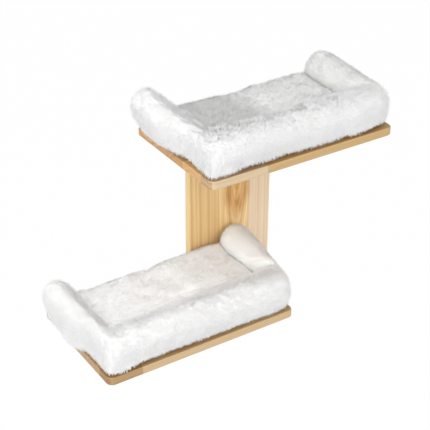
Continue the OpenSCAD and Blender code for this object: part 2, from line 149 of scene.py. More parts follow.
def spread(tree, value, low, high, to_low=0.0, to_high=1.0):
    """Maps a value from one range to another and stops at its ends."""
    node = put(tree, "ShaderNodeMapRange")
    ends = {"Value": value, "From Min": low, "From Max": high, "To Min": to_low, "To Max": to_high}
    for name, end in ends.items():
        feed(tree, node.inputs[name], end)
    return node.outputs[0]


def cloud(tree, place, scale, detail=2.0, roughness=0.5, distortion=0.0):
    """Noise from 0 to 1 at a place; detail and scale as numbers."""
    node = put(tree, "ShaderNodeTexNoise")
    feed(tree, node.inputs["Vector"], place)
    set_inputs(node, {"Scale": scale, "Detail": detail, "Roughness": roughness, "Distortion": distortion})
    return node


def axes_of(tree, vector):
    """The three numbers of a vector."""
    node = put(tree, "ShaderNodeSeparateXYZ")
    link(tree, vector, node.inputs[0])
    return tuple(node.outputs)


def vector_from(tree, *values):
    node = put(tree, "ShaderNodeCombineXYZ")
    for socket, value in zip(node.inputs, values):
        feed(tree, socket, value)
    return node.outputs[0]


def darkened(tree, colour, share, tint):
    """Darkens a colour by a share of a tint."""
    return mix_colour(tree, share, colour, (*tint, 1.0), "MULTIPLY")


def relief(tree, shader, height, distance, strength):
    """Bumps a surface by a height from 0 to 1."""
    node = put(tree, "ShaderNodeBump")
    set_inputs(node, {"Strength": strength, "Distance": distance})
    link(tree, height, node.inputs["Height"])
    link(tree, node.outputs[0], shader.inputs["Normal"])


def object_place(tree):
    return put(tree, "ShaderNodeTexCoord").outputs["Object"]


# Materials
# Tint of the painted warm shade along the crease beside each right roll
WARM_CREASE_SHADE = (1.0, 0.90, 0.78)


def plush(name, tint, root, mottle, speckle, painted_bed_light=(1.0, 1.0), left_seat_shade=1.0, shaded_creases=None):
    """White pile, darker towards its roots, with greyer patches and speckles.

    The roots' colour is painted shade deep in the pile. mottle is the patches' scale and speckle the strength
    of both.
    painted_bed_light scales the colour of the upper and the lower bed: painted light and shade, the lower bed
    lighter against the upper platform's shade and the upper bed darker. left_seat_shade darkens the upper
    bed's
    left part: painted shade for the left roll's shadow and the darker look of pile brushed the other way
    there;
    shaded_creases are the X of the painted warm shade along the crease beside each bed's right roll.
    """
    material, tree, shader = new_material(name)
    place = object_place(tree)
    across, _, height = axes_of(tree, place)

    def by_bed(lower, upper):
        return spread(tree, height, *BETWEEN_BEDS, lower, upper)

    # Painted shade: the pile darkens towards its roots, and the bare skin takes the root colour, for the
    # shade deep in the pile
    rise = put(tree, "ShaderNodeAttribute", attribute_name="rise").outputs["Fac"]
    strand = ramp(tree, rise, ((0.15, root), (0.75, tint)))
    patches = cloud(tree, place, mottle, 3.0, 0.6).outputs["Fac"]
    fine = cloud(tree, place, 330.0, 2.0, 0.7).outputs["Fac"]
    share = maths(tree, "ADD", spread(tree, fine, 0.32, 0.68, -0.5, 0.5),
                  spread(tree, patches, 0.35, 0.65, -0.35, 0.35))
    level = maths(tree, "MULTIPLY_ADD", share, speckle, 1.0)
    # Painted light and shade: the lower bed is lighter, against the upper platform's shade, and the upper bed
    # darker
    level = maths(tree, "MULTIPLY", level, by_bed(painted_bed_light[1], painted_bed_light[0]))
    # Painted shade: the upper seat's left part is darker, for the left roll's shadow and the pile's nap
    if left_seat_shade < 1.0:
        edge = maths(tree, "MULTIPLY_ADD", patches, 0.05, across)
        brushed = maths(tree, "MULTIPLY", spread(tree, edge, 0.030, -0.030), by_bed(0.0, 1.0))
        level = maths(tree, "MULTIPLY", level, maths(tree, "MULTIPLY_ADD", brushed, left_seat_shade - 1.0, 1.0))
    colour = vector_maths(tree, "SCALE", strand, scale=level)
    # Painted warm shade along the crease beside each bed's right roll
    if shaded_creases:
        away = maths(tree, "ABSOLUTE", maths(tree, "SUBTRACT", across, by_bed(shaded_creases[1], shaded_creases[0])))
        colour = darkened(tree, colour, spread(tree, away, 0.008, 0.003), WARM_CREASE_SHADE)
    link(tree, colour, shader.inputs["Base Color"])
    set_inputs(shader, {"Roughness": 0.95, "Specular IOR Level": 0.2, "Sheen Weight": 0.15,
                        "Sheen Roughness": 0.6})
    return material


def steps(tree, value, starts, levels):
    """A number that changes at each start along a value."""
    total = maths(tree, "ADD", float(levels[0]), 0.0)
    for start, before, after in zip(starts, levels, levels[1:]):
        past = maths(tree, "GREATER_THAN", value, start)
        total = maths(tree, "MULTIPLY_ADD", past, float(after - before), total)
    return total


# One glued strip: its start across the board, its tone, the side and depth of its pith, the slope of
# its grain and the contrast of its rings
Strip = namedtuple("Strip", "start tone pith_side pith_depth slope contrast")

# Tints that darken the strips' own tones
RING_TINT = (0.60, 0.39, 0.19)
FIBRE_TINT = (0.70, 0.52, 0.34)
PORE_TINT = (0.55, 0.40, 0.28)
END_TINT = (0.80, 0.68, 0.55)
GLUE_TINT = (0.55, 0.38, 0.22)
FIGURE_TINT = (0.85, 0.72, 0.52)


def board_wood(name, grain, across, strips, seed, patches=(), streak=None, broad_face_shade=None):
    """Solid wood glued up from strips, with rings that show as bands on faces and as arcs on ends.

    grain and across are axis letters. patches are (low, high, tone) boxes of single shorter pieces.
    streak is (centre, size, tint) of a darker figure. broad_face_shade tints both broad faces: painted shade,
    for the shade under the beds' hems.
    """
    material, tree, shader = new_material(name)
    place = object_place(tree)
    axes = dict(zip("XYZ", axes_of(tree, place)))
    third = ({"X", "Y", "Z"} - {grain, across}).pop()
    run, side, thick = axes[grain], axes[across], axes[third]
    facing = dict(zip("XYZ", axes_of(tree, put(tree, "ShaderNodeTexCoord").outputs["Normal"])))

    def faces(axis, least=0.7):
        """1 on the faces square to an axis and 0 on the others."""
        return maths(tree, "GREATER_THAN", maths(tree, "ABSOLUTE", facing[axis]), least)

    starts = [strip.start for strip in strips[1:]]
    low, high = strips[0].start, strips[-1].start + 0.2
    stops = [((strip.start - low) / (high - low), strip.tone) for strip in strips]
    tone = ramp(tree, spread(tree, side, low, high), stops, "CONSTANT")
    index = steps(tree, side, starts, [seed + n for n in range(len(strips))])
    joint = 0.0
    for start in starts:
        away = maths(tree, "ABSOLUTE", maths(tree, "SUBTRACT", side, start))
        joint = maths(tree, "MAXIMUM", spread(tree, away, 0.0011, 0.0003), joint)
    for corner_low, corner_high, patch_tone in patches:
        inside = 1.0
        for axis, lowest, highest in zip("XYZ", corner_low, corner_high):
            inside = maths(tree, "MULTIPLY", inside, maths(tree, "GREATER_THAN", axes[axis], lowest))
            inside = maths(tree, "MULTIPLY", inside, maths(tree, "LESS_THAN", axes[axis], highest))
        tone = mix_colour(tree, inside, tone, (*patch_tone, 1.0))
        index = maths(tree, "MULTIPLY_ADD", inside, 7.3, index)

    # Each strip takes its own stretch of the noise
    moved = vector_from(tree, *(maths(tree, "MULTIPLY_ADD", index, shift, axis)
                                for axis, shift in ((run, 0.73), (side, 0.31), (thick, 0.17))))

    def drawn_out(along, sideways, detail, roughness=0.5, distortion=0.0):
        """Noise drawn out along the grain."""
        stretched = vector_maths(tree, "MULTIPLY", moved, (along, sideways, sideways))
        return cloud(tree, stretched, 1.0, detail, roughness, distortion).outputs["Fac"]

    # Rings lie round each strip's pith and wander a little
    pith_side, pith_depth, slope, contrast = (
        steps(tree, side, starts, [getattr(strip, value) for strip in strips])
        for value in ("pith_side", "pith_depth", "slope", "contrast"))
    from_side = maths(tree, "SUBTRACT", side, pith_side)
    from_depth = maths(tree, "SUBTRACT", thick, pith_depth)
    from_depth = maths(tree, "SUBTRACT", from_depth, maths(tree, "MULTIPLY", run, slope))
    radius = vector_maths(tree, "LENGTH", vector_from(tree, from_side, from_depth))
    radius = maths(tree, "MULTIPLY_ADD", drawn_out(3.0, 16.0, 2.0), 0.016, radius)
    radius = maths(tree, "MULTIPLY_ADD", index, 0.37, radius)
    broad = put(tree, "ShaderNodeTexNoise", noise_dimensions="1D")
    link(tree, radius, broad.inputs["W"])
    set_inputs(broad, {"Scale": 130.0, "Detail": 2.0, "Roughness": 0.55})
    ring = spread(tree, broad.outputs["Fac"], 0.34, 0.68)
    fibre = drawn_out(5.0, 260.0, 3.0, 0.6)
    pore = spread(tree, drawn_out(70.0, 1500.0, 1.0), 0.62, 0.72)

    # Rings show most on end faces and least on the board's long edges
    strength = maths(tree, "MULTIPLY", contrast, maths(tree, "MULTIPLY_ADD", faces(grain), 0.6, 1.0))
    strength = maths(tree, "MULTIPLY", strength, maths(tree, "MULTIPLY_ADD", faces(across), -0.45, 1.0))
    marks_and_shade = [
        (maths(tree, "MULTIPLY", ring, strength), RING_TINT),
        (maths(tree, "MULTIPLY", spread(tree, fibre, 0.35, 0.7), 0.22), FIBRE_TINT),
        (maths(tree, "MULTIPLY", pore, 0.2), PORE_TINT),
        (maths(tree, "MULTIPLY", faces(grain), 0.8), END_TINT),
    ]
    # Painted shade on both broad faces, darker as under the beds' hems
    if broad_face_shade:
        marks_and_shade.append((faces(third, 0.8), broad_face_shade))
    if starts:
        marks_and_shade.append((maths(tree, "MULTIPLY", joint, 0.35), GLUE_TINT))
    if streak:
        centre, size, figure_tint = streak
        away = vector_maths(tree, "DIVIDE", vector_maths(tree, "SUBTRACT", place, centre), size)
        inside = spread(tree, vector_maths(tree, "LENGTH", away), 1.15, 0.55)
        flow = spread(tree, drawn_out(7.0, 60.0, 3.0, 0.65, 0.6), 0.42, 0.60)
        marks_and_shade.append((inside, FIGURE_TINT))
        marks_and_shade.append((maths(tree, "MULTIPLY", inside, flow), figure_tint))
    for share, tint in marks_and_shade:
        tone = darkened(tree, tone, share, tint)

    link(tree, tone, shader.inputs["Base Color"])
    link(tree, spread(tree, fibre, 0.2, 0.8, 0.38, 0.56), shader.inputs["Roughness"])
    set_inputs(shader, {"Coat Weight": 0.15, "Coat Roughness": 0.3})
    height = maths(tree, "MULTIPLY_ADD", pore, -0.6, maths(tree, "MULTIPLY", fibre, 0.4))
    relief(tree, shader, height, 0.0004, 0.35)
    return material


def darker(tint, share):
    return tuple(value * share for value in tint)


def metal(name, tint, roughness, brushed):
    """Bare metal with fine lines; brushed is how often they change along each axis."""
    material, tree, shader = new_material(name)
    place = vector_maths(tree, "MULTIPLY", object_place(tree), brushed)
    lines = cloud(tree, place, 1.0, 3.0, 0.6).outputs["Fac"]
    link(tree, ramp(tree, lines, ((0.3, darker(tint, 0.86)), (0.7, tint))), shader.inputs["Base Color"])
    link(tree, spread(tree, lines, 0.3, 0.7, roughness - 0.08, roughness + 0.1), shader.inputs["Roughness"])
    set_inputs(shader, {"Metallic": 1.0})
    relief(tree, shader, lines, 0.0001, 0.2)
    return material


def powder_coat(name, tint):
    """Matt paint with a fine orange-peel grain."""
    material, tree, shader = new_material(name)
    place = object_place(tree)
    grains = cloud(tree, place, 1400.0, 2.0).outputs["Fac"]
    wide = cloud(tree, place, 60.0, 2.0).outputs["Fac"]
    link(tree, ramp(tree, wide, ((0.35, darker(tint, 0.85)), (0.65, tint))), shader.inputs["Base Color"])
    link(tree, spread(tree, grains, 0.3, 0.7, 0.42, 0.6), shader.inputs["Roughness"])
    relief(tree, shader, grains, 0.0002, 0.4)
    return material


# Scale of a wave texture that has one band in each metre
METRE_WAVE = 0.314


def woven(name, tint, pitch, depth):
    """Plain weave on the flat, from two crossed waves."""
    material, tree, shader = new_material(name)
    place = object_place(tree)
    waves = []
    for direction in ("X", "Y"):
        wave = put(tree, "ShaderNodeTexWave", bands_direction=direction)
        link(tree, place, wave.inputs["Vector"])
        set_inputs(wave, {"Scale": METRE_WAVE / pitch, "Distortion": 0.4, "Detail": 1.0})
        waves.append(wave.outputs["Fac"])
    threads = maths(tree, "MAXIMUM", *waves)
    link(tree, ramp(tree, threads, ((0.3, darker(tint, 0.78)), (0.9, tint))), shader.inputs["Base Color"])
    set_inputs(shader, {"Roughness": 0.9})
    relief(tree, shader, threads, depth, 0.7)
    return material


# Plush beds
def shape_of(piece):
    return np.array([v.co for v in piece.data.vertices])


def set_shape(piece, points):
    piece.data.vertices.foreach_set("co", np.asarray(points, np.float32).ravel())
    piece.data.update()


def vectors_in(data, count):
    """One vector for each of count items, as an array."""
    found = np.zeros(count * 3, np.float32)
    data.foreach_get("vector", found)
    return found.reshape(-1, 3).astype(float)


def normals_of(piece):
    return vectors_in(piece.data.vertex_normals, len(piece.data.vertices))


def relax(piece, rounds):
    """Smooths a mesh a little in each round."""
    shell = bmesh.new()
    shell.from_mesh(piece.data)
    for _ in range(rounds):
        bmesh.ops.smooth_vert(shell, verts=shell.verts, factor=0.5, use_axis_x=True, use_axis_y=True,
                              use_axis_z=True)
    shell.to_mesh(piece.data)
    shell.free()
    piece.data.update()


def applied(piece):
    """Makes the modifiers' result the piece's own mesh."""
    graph = bpy.context.evaluated_depsgraph_get()
    baked = bpy.data.meshes.new_from_object(piece.evaluated_get(graph))
    piece.modifiers.clear()
    old = piece.data
    piece.data = baked
    bpy.data.meshes.remove(old)
    return piece


def shell_of(node):
    """A closed copy of a solid's mesh."""
    shell = bmesh.new()
    shell.from_mesh(nodes[node].data)
    bmesh.ops.remove_doubles(shell, verts=shell.verts, dist=1e-5)
    return shell


def smooth_step(value, low, high):
    t = np.clip((value - low) / (high - low), 0.0, 1.0)
    return t * t * (3.0 - 2.0 * t)


def hill(value, middle, width):
    return np.exp(-(((value - middle) / width) ** 2))


def lumps(points, size, seed):
    """Smooth noise from -1 to 1 at each point."""
    shift = Vector((seed * 7.31, seed * 3.17, seed * 5.53))
    return np.array([noise.noise(Vector(p) / size + shift) for p in points])


def even_cover(name, members):
    """One even, closed mesh round one or more solids."""
    joined = bmesh.new()
    for node in members:
        shell = shell_of(node)
        bmesh.ops.recalc_face_normals(shell, faces=shell.faces)
        shell.normal_update()
        for vertex in shell.verts:
            vertex.co += vertex.normal * WELD
        part = bpy.data.meshes.new(node)
        shell.to_mesh(part)
        shell.free()
        joined.from_mesh(part)
        bpy.data.meshes.remove(part)
    mesh = bpy.data.meshes.new(name)
    joined.to_mesh(mesh)
    joined.free()
    cover = new_object(name, mesh)
    remesh = cover.modifiers.new("Even mesh", "REMESH")
    remesh.mode = "VOXEL"
    remesh.voxel_size = VOXEL
    applied(cover)
    relax(cover, 4)
    return cover


# Cloth settings of a cover that swells with its filling
FILLING = {
    "quality": 4,
    "use_pressure": True,
    "uniform_pressure_force": 4.0,
    "mass": 0.15,
    "tension_stiffness": 12.0,
    "compression_stiffness": 12.0,
    "shear_stiffness": 5.0,
    "bending_stiffness": 0.2,
    "shrink_min": -0.02,
}
SEWN_HEIGHT = 0.006


def fill_covers(covers, frames=20, most=0.005):
    """Cloth simulation: the covers swell with their filling while their feet stay sewn down.

    covers are (cover, level of its foot) pairs; most caps how far a point moves.
    """
    starts = {}
    for cover, foot in covers:
        starts[cover.name] = shape_of(cover)
        held = cover.vertex_groups.new(name="Sewn down")
        for index, place in enumerate(starts[cover.name]):
            if place[2] < foot + SEWN_HEIGHT:
                held.add([index], 1.0, "REPLACE")
        cloth = cover.modifiers.new("Filling", "CLOTH")
        for name, value in FILLING.items():
            setattr(cloth.settings, name, value)
        cloth.settings.vertex_group_mass = held.name
        cloth.settings.effector_weights.gravity = 0.0
        cloth.collision_settings.use_collision = False
        cloth.point_cache.frame_start = 1
        cloth.point_cache.frame_end = frames
    for step in range(1, frames + 1):
        bpy.context.scene.frame_set(step)
    graph = bpy.context.evaluated_depsgraph_get()
    swollen = {}
    for cover, _ in covers:
        mesh = cover.evaluated_get(graph).to_mesh()
        swollen[cover.name] = np.array([v.co for v in mesh.vertices])
        cover.evaluated_get(graph).to_mesh_clear()
    for cover, _ in covers:
        cover.modifiers.clear()
        cover.vertex_groups.clear()
        start = starts[cover.name]
        move = swollen[cover.name] - start
        far = np.linalg.norm(move, axis=1, keepdims=True)
        set_shape(cover, start + move * np.minimum(1.0, most / np.maximum(far, 1e-9)))
        relax(cover, 3)
    bpy.context.scene.frame_set(1)


# What each coat of strands is set by, in metres where it is a length
COAT_VALUES = ("Pile length", "Strand width", "Strands per square metre", "Lean", "Tousle", "Tuft size",
               "Tufting", "Tuft fall", "Tuft relief")


def strand_tree():
    """Geometry Nodes that grow tapered strands from a skin."""
    tree = bpy.data.node_groups.new("Pile", "GeometryNodeTree")
    face = tree.interface
    kinds = {"Geometry": "Geometry", **dict.fromkeys(COAT_VALUES, "Float"), "Seed": "Int",
             "Material": "Material"}
    for title, kind in kinds.items():
        face.new_socket(title, in_out="INPUT", socket_type=f"NodeSocket{kind}")
    face.new_socket("Geometry", in_out="OUTPUT", socket_type="NodeSocketGeometry")
    start = put(tree, "NodeGroupInput").outputs
    end = put(tree, "NodeGroupOutput")

    def attribute(name, kind):
        node = put(tree, "GeometryNodeInputNamedAttribute", data_type=kind)
        node.inputs["Name"].default_value = name
        return node.outputs["Attribute"]

    def store(geometry, name, kind, value):
        """Keeps a value on each point of a geometry."""
        node = put(tree, "GeometryNodeStoreNamedAttribute", data_type=kind, domain="POINT")
        node.inputs["Name"].default_value = name
        link(tree, geometry, node.inputs["Geometry"])
        link(tree, value, node.inputs["Value"])
        return node.outputs[0]

    def random(low, high, shift):
        node = put(tree, "FunctionNodeRandomValue", data_type="FLOAT")
        feed(tree, node.inputs[2], low)
        feed(tree, node.inputs[3], high)
        feed(tree, node.inputs["Seed"], maths(tree, "ADD", start["Seed"], float(shift)))
        return node.outputs[1]

    points = put(tree, "GeometryNodeDistributePointsOnFaces", distribute_method="RANDOM")
    link(tree, start["Geometry"], points.inputs["Mesh"])
    density = maths(tree, "MULTIPLY", start["Strands per square metre"], attribute("cover", "FLOAT"))
    feed(tree, points.inputs["Density"], density)
    feed(tree, points.inputs["Seed"], start["Seed"])
    place = put(tree, "GeometryNodeInputPosition").outputs[0]
    normal = points.outputs["Normal"]

    def drift(scale, shift, strength):
        """Noise in all directions round zero."""
        moved = vector_maths(tree, "ADD", place, (shift, shift, shift))
        way = vector_maths(tree, "SUBTRACT", cloud(tree, moved, scale, 1.0).outputs["Color"], (0.5, 0.5, 0.5))
        return vector_maths(tree, "SCALE", way, scale=strength)

    # Each strand goes between the surface's normal and the comb, tousled in waves and by itself
    jumble = put(tree, "FunctionNodeRandomValue", data_type="FLOAT_VECTOR")
    jumble.inputs[0].default_value = (-0.35, -0.35, -0.35)
    jumble.inputs[1].default_value = (0.35, 0.35, 0.35)
    feed(tree, jumble.inputs["Seed"], start["Seed"])
    loose = vector_maths(tree, "ADD", drift(38.0, 3.1, 2.2), drift(150.0, 7.7, 1.3))
    loose = vector_maths(tree, "ADD", loose, jumble.outputs[0])
    curl = attribute("curl", "FLOAT")
    tousle = maths(tree, "MULTIPLY", start["Tousle"], maths(tree, "MULTIPLY_ADD", curl, 1.35, 0.45))
    main = mix_vector(tree, start["Lean"], normal, attribute("comb", "FLOAT_VECTOR"))
    way = vector_maths(tree, "ADD", main, vector_maths(tree, "SCALE", loose, scale=tousle))
    way = vector_maths(tree, "NORMALIZE", way)

    # Strands gather in tufts: long in a tuft's middle, short between tufts
    warped = vector_maths(tree, "ADD", place, drift(90.0, 0.0, 0.012))
    cells = put(tree, "ShaderNodeTexVoronoi", feature="F1")
    link(tree, warped, cells.inputs["Vector"])
    feed(tree, cells.inputs["Scale"], maths(tree, "DIVIDE", 1.0, start["Tuft size"]))
    from_heart = vector_maths(tree, "SUBTRACT", warped, cells.outputs["Position"])
    inward = maths(tree, "SUBTRACT", 0.45, cells.outputs["Distance"])
    fall = maths(tree, "MULTIPLY", start["Tuft fall"], inward)
    length = maths(tree, "MULTIPLY", start["Pile length"], attribute("pile", "FLOAT"))
    length = maths(tree, "MULTIPLY", length, random(0.7, 1.12, 11))
    length = maths(tree, "MULTIPLY", length, maths(tree, "MAXIMUM", maths(tree, "ADD", 1.0, fall), 0.3))
    tip = vector_maths(tree, "ADD", place, vector_maths(tree, "SCALE", way, scale=length))
    heart = vector_maths(tree, "ADD", vector_maths(tree, "SUBTRACT", place, from_heart),
                         vector_maths(tree, "SCALE", vector_maths(tree, "NORMALIZE", main), scale=length))
    pull = maths(tree, "MULTIPLY", start["Tufting"], random(0.3, 1.0, 23))
    tip = mix_vector(tree, pull, tip, heart)

    # The normal that a strand is shaded by leans away from its tuft's middle
    bump = maths(tree, "MULTIPLY", start["Tuft relief"], maths(tree, "MULTIPLY_ADD", curl, 1.15, 0.32))
    bump = maths(tree, "DIVIDE", bump, start["Tuft size"])
    shaded = vector_maths(tree, "ADD", normal, vector_maths(tree, "SCALE", from_heart, scale=bump))
    shaded = vector_maths(tree, "NORMALIZE", shaded)

    # Tips stay above what lies under them and in front of what stands behind them
    tip_x, tip_y, tip_z = axes_of(tree, tip)
    tip_y = maths(tree, "MINIMUM", tip_y, attribute("back_limit", "FLOAT"))
    tip_z = maths(tree, "MAXIMUM", tip_z, attribute("floor_limit", "FLOAT"))
    span = vector_maths(tree, "SUBTRACT", vector_from(tree, tip_x, tip_y, tip_z), place)

    turned = put(tree, "FunctionNodeAlignRotationToVector", axis="Z")
    link(tree, span, turned.inputs["Vector"])
    facing = put(tree, "FunctionNodeAlignRotationToVector", axis="X", pivot_axis="Z")
    link(tree, turned.outputs[0], facing.inputs["Rotation"])
    link(tree, normal, facing.inputs["Vector"])

    # One strand: a three-sided cone of unit height, fuller in its middle
    cone = put(tree, "GeometryNodeMeshCone", fill_type="NGON")
    set_inputs(cone, {"Vertices": 3, "Side Segments": 2, "Radius Top": 0.0, "Radius Bottom": 0.5,
                      "Depth": 1.0})
    spot_x, spot_y, rise = axes_of(tree, put(tree, "GeometryNodeInputPosition").outputs[0])
    belly = maths(tree, "MULTIPLY", rise, maths(tree, "SUBTRACT", 1.0, rise))
    fuller = maths(tree, "MULTIPLY_ADD", belly, 1.6, 1.0)
    swollen = vector_from(tree, maths(tree, "MULTIPLY", spot_x, fuller),
                          maths(tree, "MULTIPLY", spot_y, fuller), rise)
    strand = put(tree, "GeometryNodeSetPosition")
    link(tree, store(cone.outputs["Mesh"], "rise", "FLOAT", rise), strand.inputs["Geometry"])
    link(tree, swollen, strand.inputs["Position"])

    width = maths(tree, "MULTIPLY", start["Strand width"], random(0.7, 1.3, 37))
    reach = vector_maths(tree, "LENGTH", span)
    planted = put(tree, "GeometryNodeInstanceOnPoints")
    parts = {
        "Points": store(points.outputs["Points"], "root_normal", "FLOAT_VECTOR", shaded),
        "Instance": strand.outputs[0],
        "Rotation": facing.outputs[0],
        "Scale": vector_from(tree, maths(tree, "MULTIPLY", width, 0.35), width, reach),
    }
    for title, value in parts.items():
        link(tree, value, planted.inputs[title])
    solid = put(tree, "GeometryNodeRealizeInstances")
    link(tree, planted.outputs[0], solid.inputs[0])
    smooth = put(tree, "GeometryNodeSetShadeSmooth")
    link(tree, solid.outputs[0], smooth.inputs["Geometry"])
    finish = put(tree, "GeometryNodeSetMaterial")
    link(tree, smooth.outputs[0], finish.inputs["Geometry"])
    link(tree, start["Material"], finish.inputs["Material"])
    link(tree, finish.outputs[0], end.inputs[0])
    return tree


def grow(cover, name, values, back):
    """A new piece with the strands that the pile tree grows from a cover."""
    grown = new_object(name, cover.data.copy())
    coat = grown.modifiers.new("Pile", "NODES")
    coat.node_group = pile_tree
    for item in pile_tree.interface.items_tree:
        if item.item_type == "SOCKET" and item.in_out == "INPUT" and item.name in values:
            coat[item.identifier] = values[item.name]
    applied(grown)
    soften(grown, back)
    return grown


def soften(coat, back, share=0.7):
    """Turns the strands' normals towards the cover's own, so that the pile shades as one soft surface.

    back is the most that they may lean towards the wall: light gets through long pile there.
    """
    mesh = coat.data
    root = mesh.attributes["root_normal"]
    mixed = vectors_in(root.data, len(mesh.vertices)) * share + normals_of(coat) * (1.0 - share)
    mixed[:, 1] = np.minimum(mixed[:, 1], back)
    mixed /= np.maximum(np.linalg.norm(mixed, axis=1, keepdims=True), 1e-6)
    mesh.normals_split_custom_set_from_vertices(mixed.tolist())
    mesh.attributes.remove(mesh.attributes["root_normal"])


def write_attribute(mesh, name, kind, values, domain="POINT"):
    layer = mesh.attributes.new(name, kind, domain)
    flat = np.asarray(values, np.float32).ravel()
    layer.data.foreach_set("vector" if kind == "FLOAT_VECTOR" else "value", flat)


pile_tree = strand_tree()
# Each plush's second colour is painted shade at the pile's roots; painted_bed_light, left_seat_shade and
# shaded_creases paint light and shade into the seat and roll colours
long_white = plush("long white plush", (0.945, 0.945, 0.943), (0.87, 0.87, 0.865), 22.0, 0.06)
short_white = plush("short white plush", (0.97, 0.97, 0.965), (0.91, 0.91, 0.90), 26.0, 0.05,
                    painted_bed_light=(0.95, 1.12), left_seat_shade=0.76, shaded_creases=(0.191, -0.049))
smooth_white = plush("smooth white plush", (0.89, 0.895, 0.875), (0.83, 0.83, 0.81), 18.0, 0.07,
                     painted_bed_light=(0.915, 1.10))

# Each finish has its coats of strands, set by the numbers that COAT_VALUES names in their order; the
# cover lies below the solid's surface by the inset
FINISH = {
    "long_plush": {
        "inset": 0.006, "material": long_white,
        "coats": {
            "undercoat": (0.0085, 0.0015, 130000.0, 0.50, 0.55, 0.011, 0.35, 0.7, 0.55),
            "overcoat": (0.0120, 0.0011, 140000.0, 0.62, 0.60, 0.007, 0.50, 0.7, 0.55),
        },
    },
    "short_plush": {
        "inset": 0.003, "material": short_white,
        "coats": {
            "pile": (0.0055, 0.0012, 150000.0, 0.35, 0.60, 0.007, 0.40, 0.7, 0.20),
            "curls": (0.0070, 0.0010, 90000.0, 0.45, 0.80, 0.012, 0.50, 0.9, 0.30),
        },
    },
    "smooth_plush": {
        "inset": 0.003, "material": smooth_white,
        "coats": {
            "pile": (0.0050, 0.0011, 240000.0, 0.30, 0.60, 0.006, 0.45, 1.0, 0.30),
        },
    },
}
SLOT = {"seat_pad": "short_plush", "left_roll": "long_plush", "front_bolster": "long_plush",
        "right_roll": "smooth_plush"}
TIERS = ("upper", "lower")
ROLLS = {"left_roll": [(-1, False)], "front_bolster": [(-1, True), (1, True)], "right_roll": [(1, False)]}

# Inner front corners of the beds along the platform, the line of the corners and the seams' turn
INNER_CORNER = {"upper": (0.060, 0.438), "lower": (0.056, 0.470)}
FRONT_LINE = 0.110
SEAM_TURN = 35.0

# Sculpting of the filled covers, in millimetres from the platform's front left top corner
PULLS = {
    "upper_rolls": [
        ((75, 125, 80), (30, 45, 35), (8, 5, 4)),
        ((66, 225, 95), (24, 95, 30), (4, 0, 9)),
        ((25, 285, 100), (48, 55, 45), (-3, 0, 10)),
        ((-5, 285, 25), (30, 50, 26), (8, 0, 0)),
        ((455, 285, 95), (50, 60, 45), (4, 0, -5)),
        ((500, 60, 48), (34, 60, 36), (6, 0, 0)),
        ((440, 215, 58), (24, 90, 30), (-8, 0, 0)),
        ((260, 95, 90), (180, 26, 28), (0, 0, -4)),
    ],
    "lower_rolls": [
        ((62, 180, 60), (22, 40, 30), (-8, 0, 0)),
        ((62, 112, 85), (22, 24, 30), (4, -6, -8)),
        ((60, 225, 98), (24, 95, 30), (2, 0, 10)),
        ((26, 280, 105), (50, 55, 42), (-5, 0, 12)),
        ((-8, 270, 75), (32, 50, 30), (-5, 0, 0)),
        ((-5, 290, 30), (30, 40, 26), (4, 0, 0)),
        ((-2, 152, 18), (28, 58, 26), (-13, 0, -10)),
        ((58, 302, 112), (28, 36, 32), (4, 0, 12)),
        ((68, 308, 112), (18, 26, 24), (4, 0, 7)),
        ((472, 215, 58), (24, 90, 30), (-8, 0, 0)),
        ((250, 100, 90), (150, 30, 28), (0, -2, -9)),
        ((270, 114, 78), (170, 26, 28), (0, 5, 15)),
    ],
    "upper_seat_pad_cloth": [
        ((330, 295, 45), (90, 50, 30), (0, 0, -4)),
        ((250, 130, 60), (170, 26, 30), (0, -3, 6)),
        ((85, 215, 60), (24, 80, 30), (-4, 0, 5)),
        ((440, 215, 50), (24, 90, 60), (-8, 0, 0)),
    ],
    "lower_seat_pad_cloth": [
        ((265, 128, 62), (195, 34, 32), (0, -3, 11)),
        ((265, 150, 62), (195, 66, 40), (0, 0, 10)),
        ((80, 215, 60), (24, 80, 30), (-4, 0, 5)),
        ((472, 215, 50), (24, 90, 60), (-8, 0, 0)),
    ],
}
# Distance of the front left foot from the board's square corner, the level below which a seat keeps
# clear of the rolls, its height above the board, and the least tilt of what is drawn up to the rolls
FOOT_TO_CORNER = 0.0155
SEAT_FOOT = 0.012
SEAT_GAP = 0.0035
LEAST_TILT = 0.08

# Where the front hem lifts off the board: (place along it, half width, lift) in millimetres
HEM_LIFTS = {
    "upper": [(104, 24, 3.0), (204, 28, 2.5), (362, 16, 2.0), (443, 28, 4.0)],
    "lower": [(103, 22, 3.0), (179, 22, 2.0), (340, 24, 1.5)],
}

BOARDS = {tier: [np.array(corner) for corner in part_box(f"{tier}_platform")] for tier in TIERS}
panel_low, panel_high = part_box("back_panel")

# How far covers and pile reach below the board's top beside its left end
COVER_DROOP = {"upper": 0.0, "lower": 0.010}
PILE_HANG = {"upper": 0.0, "lower": 0.014}

# Length and curl of the pile on each bed
BOLSTER_LENGTH = {"upper": 1.0, "lower": 0.85}
CREST_CURL = {"upper": 0.8, "lower": 0.25}
SHORT_CURL = {"upper": 0.6, "lower": 0.4}

# The most that a coat's normals lean towards the wall, where less than all the way
MOST_BACK = {"lower_front_bolster": 0.05}


def in_bed(tier, points):
    """Places in metres from the platform's front left top corner."""
    low, high = BOARDS[tier]
    return points - np.array([low[0], low[1], high[2]])


def mitre(tier, side):
    """Upright plane through a front corner where a side roll meets the front bolster."""
    low, high = BOARDS[tier]
    across = INNER_CORNER[tier][0 if side < 0 else 1]
    place = np.array([low[0] + across, low[1] + FRONT_LINE, high[2]])
    turn = math.radians(SEAM_TURN)
    return place, np.array([-side * math.sin(turn), -math.cos(turn), 0.0])


def beyond_mitre(tier, side, points):
    """How far each point lies on the front bolster's side of a mitre plane."""
    place, normal = mitre(tier, side)
    return (points - place) @ normal


